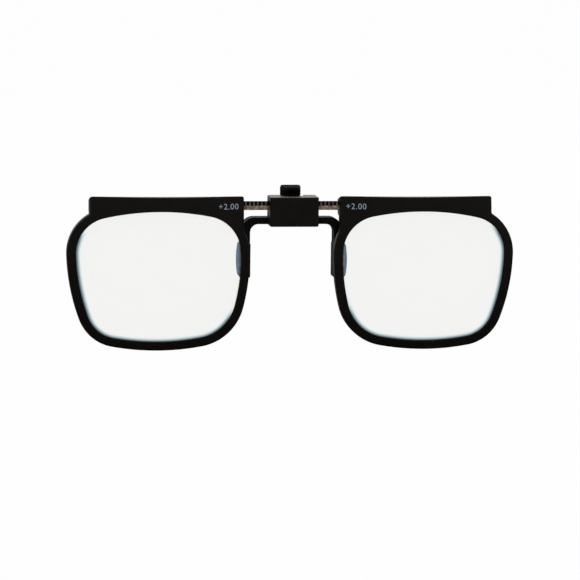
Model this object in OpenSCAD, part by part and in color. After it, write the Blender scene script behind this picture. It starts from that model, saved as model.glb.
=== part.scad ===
// Clip-on reading glasses. Two framed lenses slide on a toothed bar, the bar flips up in a small
// housing, and a sprung claw behind the housing grips the lenses of a pair of spectacles.
// Millimetres. +X is right as seen from the front, +Y is back towards the wearer and +Z is up.
// The origin is the middle of the jaw, between its rubber boots and on the centre line.
// The modules are drawn about the bar: X along it, Y = 0 and Z = 0 on the axis that it flips about.

/* [Lens opening] */
// Width of a lens opening
lens_w = 43.7; // [41:0.1:46]
// Height of a lens opening
lens_h = 34.5; // [32:0.1:37]
// Corner radius at the top on the outer side
top_outer_r = 9.7; // [8.5:0.1:10.5]
// Corner radius at the top beside the nose
top_nose_r = 10; // [8.5:0.1:11]
// Corner radius at the bottom beside the nose
bottom_nose_r = 12.6; // [10.5:0.1:13.2]
// Corner radius at the bottom on the outer side
bottom_outer_r = 10.3; // [8.5:0.1:11]
// Radius of the shallow arc along the top
top_bow_r = 66; // [50:1:90]
// Radius of the shallow arcs down the sides and along the bottom
side_bow_r = 52; // [42:1:80]
// How far the top arc rises above its corners
top_bow = 1.4; // [0.8:0.1:2]
// How far the bottom arc drops below its corners
bottom_bow = 0.9; // [0.5:0.1:1.4]
// How far the nose side draws in towards the bottom
nose_taper = 1.25; // [0.6:0.05:1.8]
// How far the outer side draws in towards the bottom
outer_taper = 2.85; // [2:0.05:3.4]

/* [Rim and lens] */
// Width of the rim seen from the front
rim_w = 2.4; // [1.8:0.1:3]
// Depth of the rim from front to back
rim_depth = 3; // [2.8:0.1:3.4]
// Radius of the ball that the front of a frame follows
base_r = 120; // [105:1:150]
// How far the ball's centre lies towards the nose from the lens centre
wrap_shift = 2.1; // [0:0.1:3]
// How far the front of a lens opening bulges out in front of the bar's axis
front_bulge = 5; // [4.8:0.05:5.3]
// How far the lens sits back from the front of the rim
lens_recess = 0.45; // [0.35:0.05:0.6]
// Thickness of the lens at its middle
lens_t = 2.1; // [1.7:0.05:2.2]
// Radius of the back surface of the lens
lens_back_r = 150; // [135:1:190]
// How far the edge of the lens reaches into the groove of the rim
lens_bite = 0.5; // [0.3:0.05:0.7]

/* [Brow housing] */
// Length of the brow
brow_len = 40.9; // [38:0.1:44]
// Distance from the inner end of the brow to the middle of the lens
lens_in = 22.7; // [21.5:0.1:24]
// Drop from the bar's axis to the middle of the lens
lens_drop = 18.65; // [18.3:0.05:19.5]
// Height of the brow above the bar's axis
brow_top = 2.7; // [2.6:0.05:3]
// How far the top edge of the brow sinks at its middle
brow_dip = 0.25; // [0.1:0.01:0.35]
// Height of the brow at its back, above the bar's axis
brow_back_top = 1.4; // [1.2:0.05:1.5]
// Depth of the deep part of the brow below the bar's axis
brow_low = 2.7; // [2.3:0.05:2.8]
// How far the inner end of the brow runs down to the rim
brow_skirt = 6.5; // [5:0.1:7.5]
// Radius of the top corners of the brow
brow_corner_r = 0.7; // [0.3:0.05:1]
// Distance behind the bar's axis at which the brow cover starts
cover_split = 1.4; // [1.2:0.05:1.6]

/* [Toothed bar] */
// Half the length of the bar
bar_half = 22.5; // [21.5:0.1:22.7]
// Height of the bar
bar_h = 2.3; // [2:0.05:2.4]
// Thickness of the metal strip
strip_t = 0.5; // [0.4:0.05:0.6]
// Thickness of the black rail behind the strip
rail_t = 0.5; // [0.4:0.05:0.6]
// Distance from tooth to tooth
pitch = 1.06; // [1:0.01:1.1]
// Width of a tooth
tooth_w = 0.4; // [0.3:0.01:0.5]
// Height of a tooth
tooth_h = 1.15; // [0.9:0.05:1.2]
// Distance from the centre line to the inner end of the right brow
brow_gap = 12.3; // [11.8:0.05:12.8]
// Clicks by which the left frame sits further out than the right one
left_clicks = 1; // [0:1:2]
// Clicks that the right frame can move in from where it sits
clicks_in = 5; // [3:1:5]
// Clicks that the right frame can move out from where it sits
clicks_out = 2; // [2:1:3]
// Radius of the stop pins near the ends of the bar
stop_pin_r = 0.4; // [0.3:0.05:0.45]
// Distance from the end of the bar to its stop pin
stop_pin_in = 1.2; // [0.9:0.05:1.5]

/* [Click springs] */
// Tooth gap that the right click spring drops into, counted from the centre line
click_gap = 16; // [15:1:17]
// Thickness of the leaf of a click spring
leaf_t = 0.2; // [0.12:0.01:0.25]
// Free length of the leaf
leaf_len = 8.2; // [7:0.1:9]
// Depth of its nose below the top of the teeth
click_depth = 0.3; // [0.15:0.01:0.45]

/* [Hinge housing] */
// Width of the housing
housing_w = 13; // [12.4:0.1:13.2]
// Height of the housing above the bar's axis
housing_top = 2.45; // [2.2:0.05:2.5]
// Depth of the housing below the bar's axis
housing_low = 5.4; // [5.3:0.05:5.8]
// How far the housing reaches forward of the bar's axis
housing_front = 3.2; // [2.9:0.05:3.8]
// Radius of the housing's edges
housing_r = 0.5; // [0.4:0.05:0.9]
// Width of the slot at the back in which the thumb lever swings
slot_w = 6.4; // [6.2:0.1:6.8]
// Thickness of the base cover
base_cover_t = 0.6; // [0.5:0.05:0.8]

/* [Flip barrel] */
// Radius of the barrel that carries the bar
barrel_r = 1.45; // [1.35:0.01:1.5]
// Distance from the barrel's axis to its two detent flats
flat_d = 1.28; // [1.24:0.01:1.32]
// Width of the barrel's flats along the bar
flat_w = 5.2; // [4.4:0.1:6]
// Thickness of the detent spring
detent_t = 0.2; // [0.15:0.01:0.25]

/* [Jaw] */
// Distance from the centre line to the middle of a leg
leg_x = 12.3; // [12:0.05:12.6]
// Width of a leg
leg_w = 2.2; // [1.8:0.05:2.5]
// Height of the straight arms
arm_h = 1.9; // [1.6:0.05:1.95]
// Gap between the brow and the arms below it
arm_gap = 0.6; // [0.5:0.05:0.8]
// Outer radius of the bend from arm to leg
bend_outer_r = 3.3; // [2.8:0.1:3.8]
// Inner radius of the bend from arm to leg
bend_inner_r = 2.2; // [1.6:0.1:2.8]
// Drop from the bar's axis to the end of the legs
leg_end = 17.4; // [16.4:0.1:17.8]
// Thickness of the fixed bracket
bracket_t = 1.2; // [1:0.05:1.25]
// Distance from the bar's axis back to the fixed bracket
bracket_y = 2; // [1.95:0.05:2.05]
// Thickness of the claw yoke
yoke_t = 1.1; // [0.9:0.05:1.3]
// Gap between the housing and the yoke behind it
yoke_gap = 0.25; // [0.2:0.05:0.5]

/* [Boots] */
// Thickness of rubber in front of and behind a leg
boot_wall = 0.6; // [0.5:0.05:0.65]
// Width of a boot at its top
boot_top_w = 3.9; // [3.4:0.1:4.3]
// Width of a boot at its foot
boot_foot_w = 4; // [3.6:0.1:4.4]
// Radius of a boot's corners
boot_r = 0.9; // [0.6:0.05:1.2]
// Drop from the bar's axis to the top of a boot
boot_top = 10.1; // [9:0.1:11]
// Drop from the bar's axis to the foot of a boot
boot_foot = 19.5; // [18.8:0.1:20.5]
// Distance from the middle of a leg out to the middle of its boot
boot_out = 0.65; // [0.4:0.05:0.7]

/* [Thumb lever] */
// Distance from the bar's axis back to the claw's pivot
pivot_y = 3.1; // [3.05:0.01:3.2]
// Drop from the bar's axis to the claw's pivot
pivot_drop = 1; // [0.9:0.05:1.1]
// Radius of the lever's hub
hub_r = 1.15; // [1.05:0.01:1.2]
// Thickness of the lever's stem
stem_t = 1.4; // [1.2:0.05:1.5]
// Width of the stem and of the front of the tab
tab_front_w = 3.8; // [3.6:0.1:4.4]
// Width of the back of the tab
tab_back_w = 5.5; // [5:0.1:5.8]
// Distance behind the bar's axis at which the tab starts
tab_front = 2; // [1.8:0.05:2.2]
// Distance behind the bar's axis at which the tab ends
tab_back = 7; // [6.6:0.1:7.6]
// Height of the tab at its front, above the bar's axis
tab_front_top = 4.6; // [4.5:0.05:4.9]
// Height of the tab at its back, above the bar's axis
tab_back_top = 5; // [4.9:0.05:5.3]
// Thickness of the tab at its back
tab_back_t = 2.6; // [2.4:0.05:2.8]
// Gap between the top of the housing and the tab
tab_gap = 0.9; // [0.85:0.05:1.1]

/* [Pins, springs and screws] */
// Radius of the claw's pivot pin
pin_r = 0.6; // [0.5:0.01:0.65]
// Radius of the torsion spring's wire
wire_r = 0.14; // [0.1:0.01:0.15]
// Curls of the torsion spring
curls = 2; // [1:1:2]
// Radius of the screws' shanks
screw_r = 0.4; // [0.3:0.01:0.45]
// Radius of the screws' heads
screw_head_r = 0.75; // [0.65:0.01:0.8]
// Height of the screws' heads
screw_head_h = 0.4; // [0.3:0.01:0.5]
// Radius of the rivets that hold the yoke
rivet_r = 0.45; // [0.35:0.01:0.55]

/* [Fits] */
// Radial clearance of a round part that turns
running = 0.05; // [0.03:0.01:0.08]
// Clearance all round a part that slides
sliding = 0.1; // [0.08:0.01:0.12]
// Clearance round a part that is fixed in its seat
seat = 0.03; // [0.02:0.01:0.05]
// Least gap between the flipping brows and the arms
flip_clear = 0.27; // [0.2:0.01:0.35]
// Gap of the closed jaw
jaw_gap = 0.25; // [0.2:0.05:0.4]

/* [Hidden] */
$fn = 48;
corner_steps = 16;
bow_steps = 6;
brow_steps = 12;
edge_steps = 8;
bend_steps = 12;
ball_sides = 360;
cut = 1;
driver_half = 0.1;

// Jaw and housing, from front to back
bracket_back = bracket_y + bracket_t;
jaw_y = bracket_back + boot_wall + jaw_gap / 2;
yoke_y = jaw_y + jaw_gap / 2 + boot_wall;
yoke_back = yoke_y + yoke_t;
housing_back = yoke_y - yoke_gap;
jaw_z = (boot_top + boot_foot) / 2;
arm_drop = brow_low + arm_gap;
arm_low = arm_drop + arm_h;
arm_mid = arm_drop + arm_h / 2;

// The brows stay inside this radius about the bar, so that they pass the arms when they flip
sweep_r = norm([bracket_y, arm_drop]) - flip_clear;
brow_back = sqrt(sweep_r * sweep_r - brow_back_top * brow_back_top);
brow_low_back = sqrt(sweep_r * sweep_r - brow_low * brow_low);

// Places along a frame are measured outwards from the inner end of its brow
ball_x = lens_in - wrap_shift;
ball_y = base_r - front_bulge;
lens_back_y = lens_recess + lens_t + lens_back_r - front_bulge;
front_limit = -front_bulge - cut;
back_limit = brow_back + cut;
brow_front_y = ball_y - sqrt(base_r * base_r - ball_x * ball_x - pow(lens_drop + brow_top, 2));

// The bar, its teeth and the channel that it slides in
bar_top = bar_h / 2;
strip_mid = -tooth_h / 2;
tooth_foot = bar_top - tooth_h;
last_tooth = floor((bar_half - tooth_w) / pitch);
first_tooth = ceil((housing_w / 2 + tooth_w) / pitch);
stop_x = bar_half - stop_pin_in;
channel_front = -strip_t - sliding;
channel_top = bar_top + sliding;
channel_end_gap = 0.4;
travel_in = clicks_in * pitch;
travel_out = clicks_out * pitch;
channel_len = bar_half - brow_gap + travel_in + channel_end_gap;
groove_from = stop_x - brow_gap - travel_out - stop_pin_r - sliding;
groove_to = stop_x - brow_gap + travel_in + stop_pin_r + sliding;
groove_depth = 0.75;
tongue_in = 0.3;

// Click spring in a pocket above the channel
click_x = (click_gap + 0.5) * pitch - brow_gap;
leaf_lift = 0.2;
leaf_room = 0.3;
leaf_z = channel_top + leaf_lift;
leaf_tail = 1.3;
leaf_grip = 1.2;
pocket_top = leaf_z + leaf_t + leaf_room;
click_nose_w = 0.16;
click_root_w = 0.72;

// Brow cover and its screws
cover_inset = 0.4;
cover_screw_x = [19.6, 37];
cover_screw_z = 0.35;
cover_screw_len = 4;

// Inside of the hinge housing
slot_wall = 0.35;
slot_flare = 0.15;
slot_front_low = barrel_r + running + slot_wall;
slot_front_high = barrel_r - slot_flare;
hub_room = 0.15;
web_top = pivot_drop + hub_r + hub_room;
base_edge = 1.1;
base_half = housing_w / 2 - base_edge;
base_front = -housing_front + housing_r;
base_back = bracket_y - slot_wall;
base_screw_edge = 0.8;
base_screw_x = base_half - base_screw_edge;
base_screw_y = (base_front + base_back) / 2;
base_screw_len = 2.2;
bracket_screw_edge = 1.8;
bracket_screw_x = housing_w / 2 - bracket_screw_edge;
bracket_screw_len = 3.2;
detent_room = 0.15;
detent_to_screw = 0.2;
detent_half = base_screw_x - screw_head_r - detent_to_screw;
cavity_half = detent_half + detent_room;
cavity_depth = 1.2;
detent_w = 1.8;
detent_foot = 0.6;
detent_flat = 1.7;
detent_post = 1.4;
detent_top = -flat_d - seat;
detent_low = -housing_low + base_cover_t + detent_post;

// Dowel and stop pins of the bar
dowel_r = 0.3;
dowel_out = 1.5;
dowel_x = flat_w / 2 + dowel_out;
dowel_half = 1.2;
barrel_end = 0.1;
barrel_half = housing_w / 2 - barrel_end;

// Thumb lever on the pivot pin, with the torsion spring beside its hub
spring_from = 1.25;
spring_end = 0.3;
spring_to = slot_w / 2 - spring_end;
spring_bore = 0.2;
coil_r = pin_r + spring_bore + wire_r;
coil_outer = coil_r + wire_r;
hub_from = -slot_w / 2 + hub_room;
hub_side = 0.1;
hub_to = spring_from - wire_r - hub_side;
spring_up = 1.9;
spring_down = 1.0;
coil_rings = 8;
coil_sides = 6;
stem_shift = 0.1;
stem_y = pivot_y - stem_t / 2 + stem_shift;
stem_back = stem_y + stem_t;
stem_low = coil_outer + hub_room - pivot_drop;
tongue_half = 2.9;
tongue_swing = 0.35;
tongue_y = bracket_back + tongue_swing;
tongue_room = 0.25;
tongue_top = -pivot_drop - coil_outer - tongue_room;
tab_under = housing_top + tab_gap;
tab_r = 0.6;
tab_rise = atan2(tab_back_top - tab_front_top, tab_back - tab_front);
tab_foot = tab_back_top - tab_back_t;
rivet_x = 1.9;
rivet_lip = 0.35;
rivet_head_r = rivet_r + rivet_lip;
rivet_head_h = 0.35;
rivet_reach = 0.8;
pin_end = 0.15;
pin_half = housing_w / 2 - pin_end;

// The direction of a vector, an angle made larger than another, and points along an arc
function direction(v) = atan2(v[1], v[0]);
function unwind(from, to) = to < from ? to + 360 : to;
function arc(c, r, from, to, n) =
    [for (i = [0:n]) let (a = from + (to - from) * i / n) [c[0] + r * cos(a), c[1] + r * sin(a)]];

// Corner circles [x, z, radius] of a lens opening about its middle, anticlockwise from top outer
half_w = lens_w / 2;
half_h = lens_h / 2;
nose_rise = 0.3;
corners = [
    [half_w - top_outer_r, half_h - top_bow - top_outer_r, top_outer_r],
    [top_nose_r - half_w, half_h - top_bow - top_nose_r + nose_rise, top_nose_r],
    [bottom_nose_r + nose_taper - half_w, bottom_nose_r + bottom_bow - half_h, bottom_nose_r],
    [half_w - outer_taper - bottom_outer_r, bottom_outer_r + bottom_bow - half_h, bottom_outer_r]
];
bow_radii = [top_bow_r, side_bow_r, side_bow_r, side_bow_r];

// Centre of the arc of radius r that runs round the outside of two corner circles and touches both
function bow_centre(p, q, r) =
    let (a = r - p[2], b = r - q[2], d = [q[0] - p[0], q[1] - p[1]], l = norm(d),
         s = (a * a - b * b + l * l) / 2 / l, h = sqrt(a * a - s * s))
    [p[0] + (d[0] * s - d[1] * h) / l, p[1] + (d[1] * s + d[0] * h) / l];
bows = [for (i = [0:3]) bow_centre(corners[i], corners[(i + 1) % 4], bow_radii[i])];

// Outline of the lens opening, grown by a distance, in the places of a frame
function lens_outline(grow) = [
    for (i = [0:3])
        let (c = corners[i], c_next = corners[(i + 1) % 4], o = bows[(i + 3) % 4], o_next = bows[i],
             c_at = [c[0], c[1]], c_next_at = [c_next[0], c_next[1]],
             from = direction(c_at - o), to = unwind(from, direction(c_at - o_next)),
             end = unwind(to, direction(c_next_at - o_next)),
             corner = arc(c, c[2] + grow, from, to, corner_steps),
             bow = arc(o_next, bow_radii[i] + grow, to, end, bow_steps))
        each concat(corner, [for (k = [1:bow_steps - 1]) bow[k]])
];

function rounded(x0, z0, x1, z1, r) = concat(
    arc([x1 - r, z1 - r], r, 0, 90, edge_steps), arc([x0 + r, z1 - r], r, 90, 180, edge_steps),
    arc([x0 + r, z0 + r], r, 180, 270, edge_steps), arc([x1 - r, z0 + r], r, 270, 360, edge_steps)
);

// A flat outline in X and Z, given depth from y0 to y1
module along_y(y0, y1) translate([0, y1, 0]) rotate([90, 0, 0]) linear_extrude(y1 - y0) children();

// A flat outline in Y and Z, given length from x0 to x1
module along_x(x0, x1) translate([x0, 0, 0]) rotate([90, 0, 90]) linear_extrude(x1 - x0) children();

module pin_y(x, z, r, y0, y1) translate([x, y0, z]) rotate([-90, 0, 0]) cylinder(r = r, h = y1 - y0);
module pin_x(y, z, r, x0, x1) translate([x0, y, z]) rotate([0, 90, 0]) cylinder(r = r, h = x1 - x0);
module block(from, to) translate(from) cube(to - from);

module from_jaw() translate([0, -jaw_y, jaw_z]) children();
module on_right() translate([brow_gap, 0, 0]) children();
module on_left() mirror([1, 0, 0]) translate([brow_gap + left_clicks * pitch, 0, 0]) children();
module both_sides() for (side = [0, 1]) mirror([side, 0, 0]) children();

// The ball surface that the front of a frame follows, set back by a depth
module ball(depth) translate([ball_x, ball_y, -lens_drop]) sphere(r = base_r - depth, $fn = ball_sides);
module lens_back_ball(grow)
    translate([ball_x, lens_back_y, -lens_drop]) sphere(r = lens_back_r - grow, $fn = ball_sides);

module opening(grow) along_y(front_limit, back_limit) translate([lens_in, -lens_drop])
    polygon(lens_outline(grow));

// Front view of the brow: its top edge is a shallow dip between two rounded corners
module brow_face() along_y(front_limit, back_limit) polygon(concat(
    [[0, -brow_skirt], [brow_len, -brow_skirt]],
    arc([brow_len - brow_corner_r, brow_top - brow_corner_r], brow_corner_r, 0, 90, edge_steps),
    [for (i = [1:brow_steps - 1]) let (x = brow_len * (1 - i / brow_steps))
        [x, brow_top - brow_dip * 4 * x * (brow_len - x) / brow_len / brow_len]],
    arc([brow_corner_r, brow_top - brow_corner_r], brow_corner_r, 90, 180, edge_steps)
));

// Side view of the brow's top, which slopes down towards the back
module brow_slope() along_x(0, brow_len) polygon([
    [front_limit, -brow_skirt], [brow_back, -brow_skirt],
    [brow_back, brow_back_top], [brow_front_y, brow_top], [front_limit, brow_top]
]);

// Section of the brow, whose back corners lie on the sweep radius
module brow_section() along_x(0, brow_len) polygon([
    [front_limit, -brow_low], [brow_low_back, -brow_low], [brow_back, -brow_back_top],
    [brow_back, brow_back_top], [brow_front_y, brow_top], [front_limit, brow_top]
]);

module bar_channel() {
    block([-cut, channel_front, -channel_top], [channel_len, cover_split + 3 * seat, channel_top]);
    block([click_x - leaf_tail - leaf_room, channel_front, 0],
          [click_x + leaf_len - leaf_grip, 0, pocket_top]);
    block([click_x, channel_front, leaf_z - seat],
          [click_x + leaf_len + seat, 0, leaf_z + leaf_t + seat]);
}

module cover_screw_holes() for (x = cover_screw_x)
    pin_y(x, cover_screw_z, screw_r + seat, brow_back - cover_screw_len - seat, back_limit);

// The rim and the brow housing are one moulding, open at the back along the bar
module frame_shell() color("#171614") difference() {
    union() {
        intersection() {
            union() {
                opening(rim_w);
                intersection() {
                    brow_face();
                    brow_slope();
                }
            }
            difference() {
                ball(0);
                ball(rim_depth);
            }
        }
        intersection() {
            brow_section();
            brow_face();
            ball(0);
            block([0, front_limit, -brow_skirt], [brow_len, cover_split, brow_top + cut]);
        }
    }
    opening(0);
    lens_solid(seat);
    bar_channel();
    cover_screw_holes();
}

module lens_solid(grow) intersection() {
    opening(lens_bite + grow);
    difference() {
        ball(lens_recess - grow);
        lens_back_ball(grow);
    }
}

module lens() color("#dfe8ea", 0.4) lens_solid(0);

module brow_cover() color("#1b1a18") difference() {
    union() {
        intersection() {
            brow_section();
            brow_face();
            ball(rim_depth + seat);
            block([0, cover_split + seat, -brow_skirt], [brow_len, back_limit, brow_top + cut]);
        }
        block([tongue_in, rail_t + sliding, -channel_top + seat],
              [channel_len - seat, cover_split + 2 * seat, channel_top - seat]);
    }
    opening(cover_inset);
    block([groove_from, 0, strip_mid - stop_pin_r - sliding],
          [groove_to, rail_t + sliding + groove_depth, strip_mid + stop_pin_r + sliding]);
    cover_screw_holes();
    for (x = cover_screw_x)
        pin_y(x, cover_screw_z, screw_head_r + seat, brow_back - screw_head_h, back_limit);
}

module cover_screws() color("#3a3a3c") for (x = cover_screw_x)
    screw_y(x, cover_screw_z, brow_back, cover_screw_len);

// A small screw driven forwards: its slotted head is flush with the given face
module screw_y(x, z, face, length) difference() {
    union() {
        pin_y(x, z, screw_head_r, face - screw_head_h + seat, face);
        pin_y(x, z, screw_r, face - length, face - screw_head_h + 2 * seat);
    }
    block([x - screw_head_r, face - screw_head_h / 2, z - driver_half],
          [x + screw_head_r, face + cut, z + driver_half]);
}

// Leaf spring whose nose drops into a gap between two teeth
module click_spring() color("#8c8c90") along_y(-strip_t, -sliding / 2) polygon([
    [click_x - leaf_tail, leaf_z],
    [click_x - click_root_w / 2, leaf_z],
    [click_x - click_nose_w / 2, bar_top - click_depth],
    [click_x + click_nose_w / 2, bar_top - click_depth],
    [click_x + click_root_w / 2, leaf_z],
    [click_x + leaf_len, leaf_z],
    [click_x + leaf_len, leaf_z + leaf_t],
    [click_x + click_root_w / 2, leaf_z + leaf_t],
    [click_x, bar_top + leaf_t],
    [click_x - click_root_w / 2, leaf_z + leaf_t],
    [click_x - leaf_tail, leaf_z + leaf_t]
]);

// Metal strip with teeth along its top, left plain where it lies in the barrel
module toothed_strip() color("#7d6b5c") difference() {
    along_y(-strip_t, 0) polygon(concat(
        [[-bar_half, -bar_top], [bar_half, -bar_top], [bar_half, tooth_foot]],
        [for (n = [last_tooth:-1:-last_tooth]) if (abs(n) >= first_tooth)
            let (x = n * pitch, w = tooth_w / 2)
            each [[x + w, tooth_foot], [x + w, bar_top], [x - w, bar_top], [x - w, tooth_foot]]],
        [[-bar_half, tooth_foot]]
    ));
    bar_holes();
}

module bar_rail() color("#121110") difference() {
    block([-bar_half, seat, -bar_top], [bar_half, rail_t, bar_top]);
    bar_holes();
}

module bar_holes() {
    pin_y(dowel_x, strip_mid, dowel_r + seat, -bar_h, bar_h);
    both_sides() pin_y(stop_x, strip_mid, stop_pin_r + seat, -bar_h, bar_h);
}

module bar_stop_pins() color("#8c8c90") both_sides()
    pin_y(stop_x, strip_mid, stop_pin_r, -strip_t, rail_t + groove_depth);

module bar_dowel() color("#8c8c90") pin_y(dowel_x, strip_mid, dowel_r, -dowel_half, dowel_half);

// Round barrel with a slot for the bar and two detent flats a quarter turn apart
module flip_barrel() color("#1f1e1c") difference() {
    pin_x(0, 0, barrel_r, -barrel_half, barrel_half);
    block([-housing_w, -strip_t - seat, -bar_top - seat], [housing_w, rail_t + seat, bar_top + seat]);
    block([-flat_w / 2, -barrel_r * 2, -barrel_r * 2], [flat_w / 2, barrel_r * 2, -flat_d]);
    block([-flat_w / 2, flat_d, -barrel_r * 2], [flat_w / 2, barrel_r * 2, barrel_r * 2]);
    pin_y(dowel_x, strip_mid, dowel_r + seat, -bar_h, bar_h);
}

// Slot at the back of the housing, as wide as the lever needs, seen from the side
module lever_slot() along_x(-slot_w / 2, slot_w / 2) polygon([
    [slot_front_high, housing_top + cut], [slot_front_low, 0], [slot_front_low, -web_top],
    [bracket_back + seat, -web_top], [bracket_back + seat, -housing_low - cut],
    [housing_back + cut, -housing_low - cut], [housing_back + cut, housing_top + cut]
]);

module hinge_housing() color("#171615") difference() {
    intersection() {
        along_y(-housing_front, housing_back)
            polygon(rounded(-housing_w / 2, -housing_low, housing_w / 2, housing_top, housing_r));
        along_x(-housing_w / 2, housing_w / 2)
            polygon(rounded(-housing_front, -housing_low, housing_back, housing_top, housing_r / 2));
        translate([0, 0, -housing_low]) linear_extrude(housing_low + housing_top)
            polygon(rounded(-housing_w / 2, -housing_front, housing_w / 2, housing_back, housing_r));
    }
    pin_x(0, 0, barrel_r + running, -housing_w, housing_w);
    lever_slot();
    block([-housing_w, bracket_y - seat, -arm_low - seat],
          [housing_w, bracket_back + seat, -arm_drop + seat]);
    block([-base_half - seat, base_front - seat, -housing_low - cut],
          [base_half + seat, base_back + seat, -housing_low + base_cover_t]);
    block([-cavity_half, -cavity_depth, -housing_low], [cavity_half, cavity_depth, 0]);
    pin_x(pivot_y, -pivot_drop, pin_r + seat, -housing_w, housing_w);
    both_sides() {
        pin_y(bracket_screw_x, -arm_mid, screw_r + seat,
              housing_back - bracket_screw_len - seat, housing_back + cut);
        pin_y(bracket_screw_x, -arm_mid, screw_head_r + seat,
              housing_back - screw_head_h, housing_back + cut);
        translate([base_screw_x, base_screw_y, -housing_low])
            cylinder(r = screw_r + seat, h = base_screw_len + seat);
    }
}

module housing_base_cover() color("#151413") difference() {
    union() {
        block([-base_half, base_front, -housing_low],
              [base_half, base_back, -housing_low + base_cover_t - seat]);
        both_sides() block([detent_half - detent_foot, -detent_w / 2, -housing_low + base_cover_t / 2],
                           [detent_half, detent_w / 2, detent_low - seat]);
    }
    both_sides() translate([base_screw_x, base_screw_y, -housing_low - cut]) {
        cylinder(r = screw_r + seat, h = base_cover_t + 2 * cut);
        cylinder(r = screw_head_r + seat, h = screw_head_h + cut);
    }
}

module base_cover_screws() color("#3a3a3c") both_sides()
    translate([base_screw_x, base_screw_y, -housing_low]) difference() {
        union() {
            cylinder(r = screw_head_r, h = screw_head_h - seat);
            cylinder(r = screw_r, h = base_screw_len);
        }
        block([-screw_head_r, -driver_half, -cut], [screw_head_r, driver_half, screw_head_h / 2]);
    }

// Bent leaf that presses on the flats of the barrel and stands on the base cover
module flip_detent_spring() color("#8c8c90") along_y(-detent_w / 2, detent_w / 2) polygon([
    [-detent_half, detent_low], [detent_foot - detent_half, detent_low],
    [-detent_flat, detent_top - detent_t], [detent_flat, detent_top - detent_t],
    [detent_half - detent_foot, detent_low], [detent_half, detent_low],
    [detent_half, detent_low + detent_t], [detent_half - detent_foot, detent_low + detent_t],
    [detent_flat, detent_top], [-detent_flat, detent_top],
    [detent_foot - detent_half, detent_low + detent_t], [-detent_half, detent_low + detent_t]
]);

// Front view of the right half of the arms and legs
function jaw_outline() = concat(
    [[0, -arm_drop]],
    arc([leg_x + leg_w / 2 - bend_outer_r, -arm_drop - bend_outer_r], bend_outer_r, 90, 0, bend_steps),
    [[leg_x + leg_w / 2, -leg_end], [leg_x - leg_w / 2, -leg_end]],
    arc([leg_x - leg_w / 2 - bend_inner_r, -arm_low - bend_inner_r], bend_inner_r, 0, 90, bend_steps),
    [[0, -arm_low]]
);

module jaw_plate(y0, y1) along_y(y0, y1) polygon(concat(
    jaw_outline(), [for (i = [len(jaw_outline()) - 2:-1:1]) let (p = jaw_outline()[i]) [-p[0], p[1]]]
));

module front_stop_bracket() color("#161514") difference() {
    jaw_plate(bracket_y, bracket_back);
    both_sides() pin_y(bracket_screw_x, -arm_mid, screw_r + seat, 0, housing_back);
}

module bracket_screws() color("#3a3a3c") both_sides()
    screw_y(bracket_screw_x, -arm_mid, housing_back, bracket_screw_len);

// Rubber boot on a leg, with rounded corners
module boot(y0, thickness) color("#2f3a45") difference() {
    along_y(y0 - boot_wall, y0 + thickness + boot_wall) translate([leg_x + boot_out, 0]) polygon(concat(
        arc([boot_top_w / 2 - boot_r, -boot_top - boot_r], boot_r, 90, 0, edge_steps),
        arc([boot_foot_w / 2 - boot_r, boot_r - boot_foot], boot_r, 0, -90, edge_steps),
        arc([boot_r - boot_foot_w / 2, boot_r - boot_foot], boot_r, -90, -180, edge_steps),
        arc([boot_r - boot_top_w / 2, -boot_top - boot_r], boot_r, 180, 90, edge_steps)
    ));
    block([leg_x - leg_w / 2 - seat, y0 - seat, -leg_end - seat],
          [leg_x + leg_w / 2 + seat, y0 + thickness + seat, 0]);
}

module claw_pivot_pin() color("#9a9a9e") pin_x(pivot_y, -pivot_drop, pin_r, -pin_half, pin_half);

// Torsion spring: one leg presses the stem back, the other bears on the housing
coil_n = curls * coil_rings;
coil_path = concat(
    [[spring_from, 180, spring_up]],
    [for (i = [0:coil_n])
        [spring_from + (spring_to - spring_from) * i / coil_n, 180 + 360 * i / coil_rings, 0]],
    [[spring_to, 180, -spring_down]]
);
function coil_at(p) = [p[0], pivot_y + coil_r * cos(p[1]), coil_r * sin(p[1]) - pivot_drop + p[2]];
coil_gap = min([for (i = [0:coil_n], j = [0:coil_n]) if (j - i >= coil_rings / 2)
    norm(coil_at(coil_path[i + 1]) - coil_at(coil_path[j + 1]))]) - 2 * wire_r;
echo(torsion_spring_least_gap = coil_gap);
coil_points = [for (p = coil_path, k = [0:coil_sides - 1]) let (a = 360 * k / coil_sides)
    coil_at(p) + wire_r * [sin(a), cos(a) * cos(p[1]), cos(a) * sin(p[1])]];
coil_last = len(coil_path) - 1;
function coil_index(ring, side) = ring * coil_sides + side % coil_sides;
coil_faces = concat(
    [for (r = [0:coil_last - 1], k = [0:coil_sides - 1])
        each [[coil_index(r, k), coil_index(r, k + 1), coil_index(r + 1, k)],
              [coil_index(r, k + 1), coil_index(r + 1, k + 1), coil_index(r + 1, k)]]],
    [for (k = [1:coil_sides - 2]) [coil_index(0, 0), coil_index(0, k + 1), coil_index(0, k)]],
    [for (k = [1:coil_sides - 2])
        [coil_index(coil_last, 0), coil_index(coil_last, k), coil_index(coil_last, k + 1)]]
);
module claw_torsion_spring() color("#a8a8ac") polyhedron(coil_points, coil_faces);

// Side view of the tab: it rises a little towards its thick back end
function tab_side() = concat(
    [[tab_front, tab_under]],
    arc([tab_front + tab_r, tab_front_top - tab_r], tab_r, 180, 90 + tab_rise, edge_steps),
    arc([tab_back - tab_r, tab_back_top - tab_r], tab_r, 90 + tab_rise, 0, edge_steps),
    arc([tab_back - tab_r, tab_foot + tab_r], tab_r, 0, -90, edge_steps),
    [[stem_back, tab_foot], [stem_y, tab_under]]
);

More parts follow.
